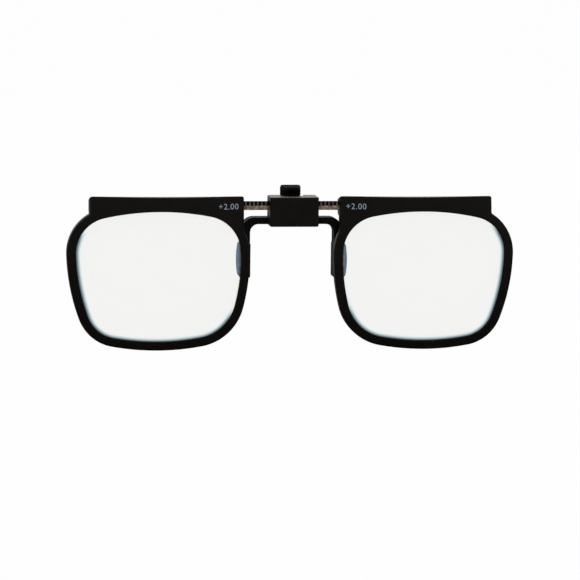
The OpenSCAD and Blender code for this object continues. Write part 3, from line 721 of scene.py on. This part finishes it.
def rubber(name):
    """Matt blue-black rubber with a fine grain."""
    material, nodes, links, shader = new_material(name)
    place = nodes.new("ShaderNodeTexCoord").outputs["Object"]
    grain = noise(nodes, links, place, scale=5200.0, detail=3.0)
    cloud = noise(nodes, links, place, scale=500.0, detail=2.0)
    colours = ((0.3, (0.004, 0.0042, 0.0046)), (0.7, (0.007, 0.0073, 0.008)))
    links.new(ramp(nodes, links, cloud, colours), shader.inputs["Base Color"])
    links.new(spread(nodes, links, cloud, low=0.5, high=0.65), shader.inputs["Roughness"])
    links.new(bump(nodes, links, grain, distance=0.00004, strength=0.35), shader.inputs["Normal"])
    set_inputs(shader, {"Specular IOR Level": 0.06, "Sheen Weight": 0.01, "Sheen Roughness": 0.5})
    return material


def strip_metal(name):
    """Brown-grey rolled strip: mottled, with fine lines along it and painted shade towards its teeth.
    """
    material, nodes, links, shader = new_material(name)
    place = nodes.new("ShaderNodeTexCoord").outputs["Object"]
    mapping = nodes.new("ShaderNodeMapping")
    mapping.inputs["Scale"].default_value = (0.12, 1.0, 1.0)
    links.new(place, mapping.inputs["Vector"])
    lines = noise(nodes, links, mapping.outputs["Vector"], scale=9000.0, detail=2.0)
    mottle = noise(nodes, links, place, scale=1500.0, detail=4.0)
    colours = (
        (0.32, (0.11, 0.078, 0.055)),
        (0.5, (0.25, 0.185, 0.14)),
        (0.68, (0.42, 0.34, 0.27)),
    )
    metal = ramp(nodes, links, mottle, colours)
    parts = nodes.new("ShaderNodeSeparateXYZ")
    links.new(place, parts.inputs["Vector"])
    height = nodes.new("ShaderNodeMapRange")
    height.inputs["From Min"].default_value = (JAW_Z - BAR_TOP) * MM
    height.inputs["From Max"].default_value = (JAW_Z + BAR_TOP) * MM
    links.new(parts.outputs["Z"], height.inputs["Value"])
    # Painted shade: darker above the middle of the strip towards its teeth, near black at its top
    # edge
    painted_teeth_shade = (
        (0.44, (1.0, 1.0, 1.0)),
        (0.56, (0.42, 0.45, 0.48)),
        (0.88, (0.4, 0.43, 0.46)),
        (0.97, (0.1, 0.1, 0.1)),
    )
    colour = nodes.new("ShaderNodeMix")
    colour.data_type = "RGBA"
    colour.blend_type = "MULTIPLY"
    colour.inputs["Factor"].default_value = 1.0
    links.new(metal, colour.inputs["A"])
    links.new(ramp(nodes, links, height.outputs["Result"], painted_teeth_shade), colour.inputs["B"])
    links.new(colour.outputs["Result"], shader.inputs["Base Color"])
    links.new(spread(nodes, links, lines, low=0.34, high=0.5), shader.inputs["Roughness"])
    links.new(bump(nodes, links, lines, distance=0.00002, strength=0.25), shader.inputs["Normal"])
    set_inputs(shader, {"Metallic": 0.85})
    return material


def plain_steel(name, dark, light, low, high):
    """Plain steel with a faint mottle."""
    material, nodes, links, shader = new_material(name)
    place = nodes.new("ShaderNodeTexCoord").outputs["Object"]
    mottle = noise(nodes, links, place, scale=2600.0, detail=3.0)
    links.new(ramp(nodes, links, mottle, ((0.35, dark), (0.65, light))), shader.inputs["Base Color"])
    links.new(spread(nodes, links, mottle, low=low, high=high), shader.inputs["Roughness"])
    set_inputs(shader, {"Metallic": 1.0})
    return material


def lens_material(name):
    """Clear coated lens with painted shade on its edges that runs through teal to black."""
    material, nodes, links, shader = new_material(name)
    # Painted shade: the edge attribute darkens the lens colour through teal to black near the rim
    shade = nodes.new("ShaderNodeAttribute")
    shade.attribute_name = "painted_edge_shade"
    colours = (
        (0.0, (0.935, 0.935, 0.915)),
        (0.15, (0.86, 0.91, 0.915)),
        (0.4, (0.52, 0.62, 0.63)),
        (0.7, (0.16, 0.21, 0.215)),
        (1.0, (0.006, 0.01, 0.011)),
    )
    links.new(ramp(nodes, links, shade.outputs["Fac"], colours), shader.inputs["Base Color"])
    set_inputs(
        shader,
        {
            "Roughness": 0.0,
            "IOR": 1.9,
            "Transmission Weight": LENS_CLARITY,
            "Specular Tint": (0.42, 0.66, 1.0, 1.0),
        },
    )
    return material


def print_material(name):
    """Pale grey-blue ink of the numbers on the brows."""
    material, nodes, links, shader = new_material(name)
    place = nodes.new("ShaderNodeTexCoord").outputs["Object"]
    speckle = noise(nodes, links, place, scale=9000.0, detail=2.0)
    colours = ((0.3, (0.24, 0.29, 0.35)), (0.7, (0.38, 0.44, 0.52)))
    links.new(ramp(nodes, links, speckle, colours), shader.inputs["Base Color"])
    set_inputs(shader, {"Roughness": 0.6, "Specular IOR Level": 0.2})
    return material


frame_black = moulded_plastic(
    "satin_frame_black",
    dark=(0.0034, 0.0028, 0.0022),
    light=(0.0048, 0.004, 0.0031),
    rough_low=0.36,
    rough_high=0.46,
    specular=0.06,
    grain=0.35,
)
housing_black = moulded_plastic(
    "satin_housing_black",
    dark=(0.0044, 0.0038, 0.003),
    light=(0.0062, 0.0052, 0.0042),
    rough_low=0.3,
    rough_high=0.4,
    specular=0.08,
    grain=0.35,
)
lever_black = gloss_plastic("gloss_lever_black")
sheet_black = coated_metal("black_coated_metal")
boot_rubber = rubber("blue_black_rubber")
strip_brown = strip_metal("brown_grey_strip")
steel = plain_steel(
    "bright_steel", dark=(0.42, 0.42, 0.43), light=(0.56, 0.56, 0.57), low=0.25, high=0.38
)
dark_steel = plain_steel(
    "blackened_steel", dark=(0.05, 0.05, 0.052), light=(0.09, 0.088, 0.086), low=0.3, high=0.42
)
lens_clear = lens_material("coated_clear_lens")
number_ink = print_material("number_ink")

# The two frames and their covers: one mesh each, mirrored for the left side
frame_step = FRAME_STEP
points, faces, normals = surface(frame_field, *FRAME_GRID, frame_step)
make_piece(
    "right_frame_moulding", on_right(points), faces, frame_black, "right_frame",
    ("right_frame_shell",), normals,
)
make_piece(
    "left_frame_moulding", on_left(points), faces[:, ::-1], frame_black, "left_frame",
    ("left_frame_shell",), mirrored(normals),
)
points, faces, normals = surface(cover_field, *COVER_GRID, COVER_STEP)
make_piece(
    "right_cover_moulding", on_right(points), faces, frame_black, "right_frame",
    ("right_brow_cover",), normals,
)
make_piece(
    "left_cover_moulding", on_left(points), faces[:, ::-1], frame_black, "left_frame",
    ("left_brow_cover",), mirrored(normals),
)


# Lenses: rings from the middle out to the edge, on the front and the back surface
# Painted shade on the lens edges, for the dark rim showing through the glass: its width, cut and
# turns
EDGE_SHADE_W = 1.75
SHADE_CUT = 0.2
SHADE_CUT_LOW = 0.25
SHADE_LEFT = (math.radians(-170.0), math.radians(48.0))
SHADE_RIGHT = (math.radians(-178.0), math.radians(58.0))
SHADE_FADE = math.radians(30.0)
SHADE_SEAM = math.radians(120.0)
LENS_RINGS = 26
LENS_EDGE_POINTS = 240


def ease(v):
    v = np.clip(v, 0.0, 1.0)
    return v * v * (3.0 - 2.0 * v)


def painted_edge_shade(x, z, outward, turns):
    """Painted shade near the edge, for the dark rim showing through the glass: dark at the outer side
    and bottom, clear elsewhere.

    The shade is cut short at the edge, most at the bottom.
    """
    depth = -opening_field(x, z)
    cut = SHADE_CUT + SHADE_CUT_LOW * np.maximum(-outward[:, 1], 0.0) ** 2
    clear = ease((depth + cut) / EDGE_SHADE_W)
    turn = np.arctan2(outward[:, 1], outward[:, 0])
    turn = np.where(turn > SHADE_SEAM, turn - math.tau, turn)
    weight = ease((turn - turns[0]) / SHADE_FADE) * ease((turns[1] - turn) / SHADE_FADE)
    return weight * (1.0 - clear)


def lens_mesh(turns):
    """Points, faces, normals and painted edge shade of a lens, darkened between two turns."""
    edge, outward = outline_points(LENS_BITE, LENS_EDGE_POINTS)
    shares = [math.sin(math.pi / 2 * k / LENS_RINGS) for k in range(1, LENS_RINGS + 1)]
    count = len(edge)
    points = []
    normals = []
    shades = []
    sides = ((BASE_R - LENS_RECESS, BALL_Y, 1.0), (LENS_BACK_R, LENS_BACK_Y, -1.0))
    for radius, centre, facing in sides:
        for share in shares:
            x = edge[:, 0] * share + LENS_IN
            z = edge[:, 1] * share - LENS_DROP
            y = centre - np.sqrt(radius**2 - (x - BALL_X) ** 2 - (z + LENS_DROP) ** 2)
            ring = np.stack([x, y, z], 1)
            points.append(ring)
            normals.append((ring - np.array([BALL_X, centre, -LENS_DROP])) / radius * facing)
            shades.append(painted_edge_shade(x, z, outward, turns))
        y = centre - math.sqrt(radius**2 - (LENS_IN - BALL_X) ** 2)
        middle = np.array([[LENS_IN, y, -LENS_DROP]])
        points.append(middle)
        normals.append((middle - np.array([BALL_X, centre, -LENS_DROP])) / radius * facing)
        shades.append(np.zeros(1))
    layers = len(shares)
    per_side = layers * count + 1
    faces = []
    for side in (0, 1):
        start = side * per_side
        middle = start + layers * count
        for k in range(count):
            after = (k + 1) % count
            spoke = (middle, start + k, start + after)
            faces.append(spoke if side == 0 else spoke[::-1])
            for layer in range(layers - 1):
                inner = start + layer * count
                outer = inner + count
                quad = (inner + k, outer + k, outer + after, inner + after)
                faces.append(quad if side == 0 else quad[::-1])
    rim = (layers - 1) * count
    for k in range(count):
        after = (k + 1) % count
        faces.append((rim + k, per_side + rim + k, per_side + rim + after, rim + after))
    return np.concatenate(points), faces, np.concatenate(normals), np.concatenate(shades).tolist()


points, faces, normals, right_shades = lens_mesh(SHADE_RIGHT)
left_shades = lens_mesh(SHADE_LEFT)[3]
right_lens = make_piece(
    "right_lens_blank", on_right(points), faces, lens_clear, "right_frame",
    ("right_lens",), normals,
)
left_lens = make_piece(
    "left_lens_blank", on_left(points), [f[::-1] for f in faces], lens_clear, "left_frame",
    ("left_lens",), mirrored(normals),
)
for lens, lens_shades in ((right_lens, right_shades), (left_lens, left_shades)):
    # The painted edge shade is kept on each lens as a point attribute
    layer = lens.data.attributes.new("painted_edge_shade", "FLOAT", "POINT")
    layer.data.foreach_set("value", lens_shades)
    lens.visible_shadow = False

# Hinge housing, lever, bracket, yoke and boots
housing_low = (-HOUSING_W / 2, -HOUSING_FRONT, -HOUSING_LOW)
housing_high = (HOUSING_W / 2, HOUSING_BACK, HOUSING_TOP)
points, faces, normals = surface(housing_field, housing_low, housing_high, BLOCK_STEP)
make_piece(
    "housing_block", points, faces, housing_black, "clip_base",
    ("hinge_housing",), normals,
)
points, faces, normals = surface(lever_field, *LEVER_GRID, LEVER_STEP)
make_piece(
    "lever_moulding", points, faces, lever_black, "claw",
    ("thumb_lever",), normals,
)
plate_low = (-LEG_X - LEG_W / 2, BRACKET_Y, -LEG_END)
plate_high = (LEG_X + LEG_W / 2, BRACKET_Y + BRACKET_T, -ARM_DROP)
points, faces, normals = surface(bracket_field, plate_low, plate_high, BLOCK_STEP)
make_piece(
    "bracket_plate", points, faces, sheet_black, "clip_base",
    ("front_stop_bracket",), normals,
)
plate_low = (-LEG_X - LEG_W / 2, YOKE_Y, -LEG_END)
plate_high = (LEG_X + LEG_W / 2, YOKE_Y + YOKE_T, -ARM_DROP)
points, faces, normals = surface(yoke_field, plate_low, plate_high, BLOCK_STEP)
make_piece(
    "yoke_plate", points, faces, sheet_black, "claw",
    ("claw_yoke",), normals,
)

boot_low_x = LEG_X + BOOT_OUT - BOOT_W / 2
boot_high_x = LEG_X + BOOT_OUT + BOOT_W / 2
for label, body, y_low, y_high, grip in (
    ("front", "clip_base", BRACKET_Y - BOOT_WALL, BRACKET_Y + BRACKET_T + BOOT_WALL, 1),
    ("claw", "claw", YOKE_Y - BOOT_WALL, YOKE_Y + YOKE_T + BOOT_WALL, -1),
):
    boot_low = (boot_low_x, y_low, -BOOT_FOOT)
    boot_high = (boot_high_x, y_high, -BOOT_TOP)
    field = boot_field(y_low, y_high, grip)
    points, faces, normals = surface(field, boot_low, boot_high, BLOCK_STEP)
    make_piece(
        label + "_pad_right", points, faces, boot_rubber, body,
        (label + "_boot_right",), normals,
    )
    make_piece(
        label + "_pad_left", mirrored(points), faces[:, ::-1], boot_rubber, body,
        (label + "_boot_left",), mirrored(normals),
    )


# Torsion spring of the claw: a round wire along its coil
WIRE_SIDES = 12


def tube(path, radius, sides):
    """Points and faces of a round wire along a path, with closed ends."""
    path = np.asarray(path, float)
    tangent = np.gradient(path, axis=0)
    tangent /= np.linalg.norm(tangent, axis=1, keepdims=True)
    side = np.cross(tangent[0], (1.0, 0.0, 0.0))
    points = []
    for k in range(len(path)):
        side = side - tangent[k] * side.dot(tangent[k])
        side /= np.linalg.norm(side)
        other = np.cross(tangent[k], side)
        for n in range(sides):
            turn = math.tau * n / sides
            points.append(path[k] + radius * (math.cos(turn) * side + math.sin(turn) * other))
    faces = []
    for k in range(len(path) - 1):
        here = k * sides
        there = here + sides
        for n in range(sides):
            after = (n + 1) % sides
            faces.append((here + n, here + after, there + after, there + n))
    faces.append(tuple(reversed(range(sides))))
    faces.append(tuple((len(path) - 1) * sides + n for n in range(sides)))
    return np.array(points), faces


coil_front = PIVOT_Y - COIL_R
coil_steps = COIL_TURNS * COIL_TURN_STEPS
coil = [(COIL_FROM, coil_front, PIVOT_Z + rise) for rise in reversed(COIL_LEG_BENDS)]
for k in range(coil_steps + 1):
    turn = math.pi + math.tau * k / COIL_TURN_STEPS
    along = COIL_FROM + COIL_LEN * k / coil_steps
    coil.append((along, PIVOT_Y + COIL_R * math.cos(turn), PIVOT_Z + COIL_R * math.sin(turn)))
coil += [(COIL_TO, coil_front, PIVOT_Z - drop) for drop in COIL_LEG_ENDS]
points, faces = tube(coil, WIRE_R, WIRE_SIDES)
spring = make_piece(
    "claw_spring_wire", points, faces, steel, None, ("claw_torsion_spring",)
)
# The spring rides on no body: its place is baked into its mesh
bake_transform(spring)

# Nodes of the frame that keep their own shape
SHARP_ANGLE = math.radians(28.0)
NODE_LOOKS = {
    "housing_base_cover": housing_black,
    "base_cover_screws": dark_steel,
    "bracket_screws": dark_steel,
    "claw_pivot_pin": steel,
    "flip_detent_spring": steel,
    "yoke_rivets": steel,
    "flip_barrel": housing_black,
    "toothed_strip": strip_brown,
    "bar_rail": sheet_black,
    "bar_dowel": steel,
    "bar_stop_pins": steel,
    "left_cover_screws": dark_steel,
    "left_click_spring": steel,
    "right_cover_screws": dark_steel,
    "right_click_spring": steel,
}
for name, material in NODE_LOOKS.items():
    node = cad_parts[name]
    node.data.materials.clear()
    node.data.materials.append(material)
    node.data.polygons.foreach_set("use_smooth", [True] * len(node.data.polygons))
    node.data.set_sharp_from_angle(angle=SHARP_ANGLE)


# Plain numbers on the inner ends of the brows
NUMBER_TEXT = "+2.00"
NUMBER_SIZE = 2.15
NUMBER_SPACING = 1.12
NUMBER_CURVE_STEPS = 6
NUMBER_Z = -0.75
NUMBER_LIFT = 0.012


def flat_text(name, text):
    """Points and faces of a flat text that starts at the origin."""
    curve = bpy.data.curves.new(name, "FONT")
    curve.body = text
    curve.size = NUMBER_SIZE
    curve.space_character = NUMBER_SPACING
    curve.resolution_u = NUMBER_CURVE_STEPS
    source = bpy.data.objects.new(name, curve)
    bpy.context.scene.collection.objects.link(source)
    bpy.context.view_layer.update()
    evaluated = source.evaluated_get(bpy.context.evaluated_depsgraph_get())
    shaped = bpy.data.meshes.new_from_object(evaluated)
    bpy.data.objects.remove(source)
    flat = np.array([v.co for v in shaped.vertices])
    faces = [list(p.vertices) for p in shaped.polygons]
    return flat, faces


def add_number(name, start, body):
    """The number as a layer of ink that follows the front of the brow."""
    flat, faces = flat_text(name + "_source", NUMBER_TEXT)
    world_x = flat[:, 0] + start
    local_x = world_x - BROW_GAP if start > 0 else -world_x - LEFT_GAP
    z = flat[:, 1] + NUMBER_Z
    y = front_y(local_x, z) - NUMBER_LIFT
    points = np.stack([world_x, y, z], 1)
    make_piece(name, points, faces, number_ink, body)


add_number("left_power_number", start=-20.3, body="left_frame")
add_number("right_power_number", start=13.8, body="right_frame")

# Floor, light and camera
object_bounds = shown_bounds()
floor_z = min(object_bounds[0][2], object_bounds[1][2])


def seen_rays(nodes, links, mirror_rays):
    """1 for rays from the camera, straight, through a lens or mirrored, otherwise 0."""
    path = nodes.new("ShaderNodeLightPath")
    seen = path.outputs["Is Camera Ray"]
    for kind in ("Is Transmission Ray", mirror_rays):
        larger = nodes.new("ShaderNodeMath")
        larger.operation = "MAXIMUM"
        links.new(seen, larger.inputs[0])
        links.new(path.outputs[kind], larger.inputs[1])
        seen = larger.outputs[0]
    return seen


FLOOR_SIZE = 4.0
FLOOR_GLOW_SHARE = 0.985
WORLD_LIGHT = 0.6
WORLD_SEEN = 1.0


def floor_material():
    """Pale floor: mostly its own white to the camera, so that only the shadow tells on it."""
    material, nodes, links, shader = new_material("pale_floor")
    place = nodes.new("ShaderNodeTexCoord").outputs["Object"]
    tone = noise(nodes, links, place, scale=6.0, detail=2.0)
    links.new(
        ramp(nodes, links, tone, ((0.3, (0.29, 0.29, 0.29)), (0.7, (0.31, 0.31, 0.31)))),
        shader.inputs["Base Color"],
    )
    set_inputs(shader, {"Roughness": 0.9, "Specular IOR Level": 0.0})
    glow = nodes.new("ShaderNodeEmission")
    glow.inputs["Color"].default_value = (1.0, 1.0, 1.0, 1.0)
    share = nodes.new("ShaderNodeMath")
    share.operation = "MULTIPLY"
    share.inputs[1].default_value = FLOOR_GLOW_SHARE
    links.new(seen_rays(nodes, links, "Is Singular Ray"), share.inputs[0])
    mix = nodes.new("ShaderNodeMixShader")
    links.new(share.outputs[0], mix.inputs["Fac"])
    links.new(shader.outputs["BSDF"], mix.inputs[1])
    links.new(glow.outputs["Emission"], mix.inputs[2])
    links.new(mix.outputs["Shader"], nodes["Material Output"].inputs["Surface"])
    return material


floor_mesh = bpy.data.meshes.new("floor")
floor_corners = [
    (FLOOR_SIZE * x, FLOOR_SIZE * y, floor_z) for x, y in ((-1, -1), (1, -1), (1, 1), (-1, 1))
]
floor_mesh.from_pydata(floor_corners, [], [(0, 1, 2, 3)])
floor_mesh.materials.append(floor_material())
floor = bpy.data.objects.new("floor", floor_mesh)
bpy.context.scene.collection.objects.link(floor)


def studio_world():
    """Even light from all sides, which shows as white to the camera and in reflections."""
    world = bpy.data.worlds.new("studio")
    bpy.context.scene.world = world
    world.use_nodes = True
    nodes = world.node_tree.nodes
    links = world.node_tree.links
    background = nodes["Background"]
    background.inputs["Color"].default_value = (1.0, 1.0, 1.0, 1.0)
    seen = seen_rays(nodes, links, "Is Glossy Ray")
    strength = spread(nodes, links, seen, low=WORLD_LIGHT, high=WORLD_SEEN)
    links.new(strength, background.inputs["Strength"])


studio_world()


def soft_lamp(name, place, size, power):
    """Square soft lamp that faces the object."""
    data = bpy.data.lights.new(name, "AREA")
    data.shape = "SQUARE"
    data.size = size
    data.energy = power
    lamp = bpy.data.objects.new(name, data)
    lamp.location = place
    lamp.rotation_euler = (Vector(place) * -1).to_track_quat("-Z", "Y").to_euler()
    bpy.context.scene.collection.objects.link(lamp)


soft_lamp("key", place=(-0.35, -0.35, 0.55), size=0.5, power=1.5)
soft_lamp("fill", place=(0.45, -0.3, 0.3), size=0.5, power=0.6)
soft_lamp("back", place=(0.1, 0.5, 0.45), size=0.5, power=2.0)

# Camera as in the photograph: a little to the left of the front and a little above
AZIMUTH = math.radians(-7.7316)
ELEVATION = math.radians(6.9942)
ROLL = math.radians(-0.6784)
CAMERA_DISTANCE = 1068.2
CLIP_START = 0.01
AIM = np.array([-0.62, 0.0, -22.6])
# Focal length over the width of the picture, both in pixels
FOCAL_SHARE = 4013.4 / 580.0
SENSOR = 36.0
away = Vector(
    (
        math.sin(AZIMUTH) * math.cos(ELEVATION),
        -math.cos(AZIMUTH) * math.cos(ELEVATION),
        math.sin(ELEVATION),
    )
)
level = Vector((math.cos(AZIMUTH), math.sin(AZIMUTH), 0.0))
upward = away.cross(level)
right = level * math.cos(ROLL) - upward * math.sin(ROLL)
up = level * math.sin(ROLL) + upward * math.cos(ROLL)
camera_data = bpy.data.cameras.new("camera")
camera_data.sensor_width = SENSOR
camera_data.lens = FOCAL_SHARE * SENSOR
camera_data.clip_start = CLIP_START
camera = bpy.data.objects.new("camera", camera_data)
camera_place = Vector(to_frame(AIM)) + away * CAMERA_DISTANCE * MM
camera.matrix_world = Matrix(
    (
        (right.x, up.x, away.x, camera_place.x),
        (right.y, up.y, away.y, camera_place.y),
        (right.z, up.z, away.z, camera_place.z),
        (0.0, 0.0, 0.0, 1.0),
    )
)
bpy.context.scene.collection.objects.link(camera)
bpy.context.scene.camera = camera
bpy.context.scene.view_settings.view_transform = "Standard"
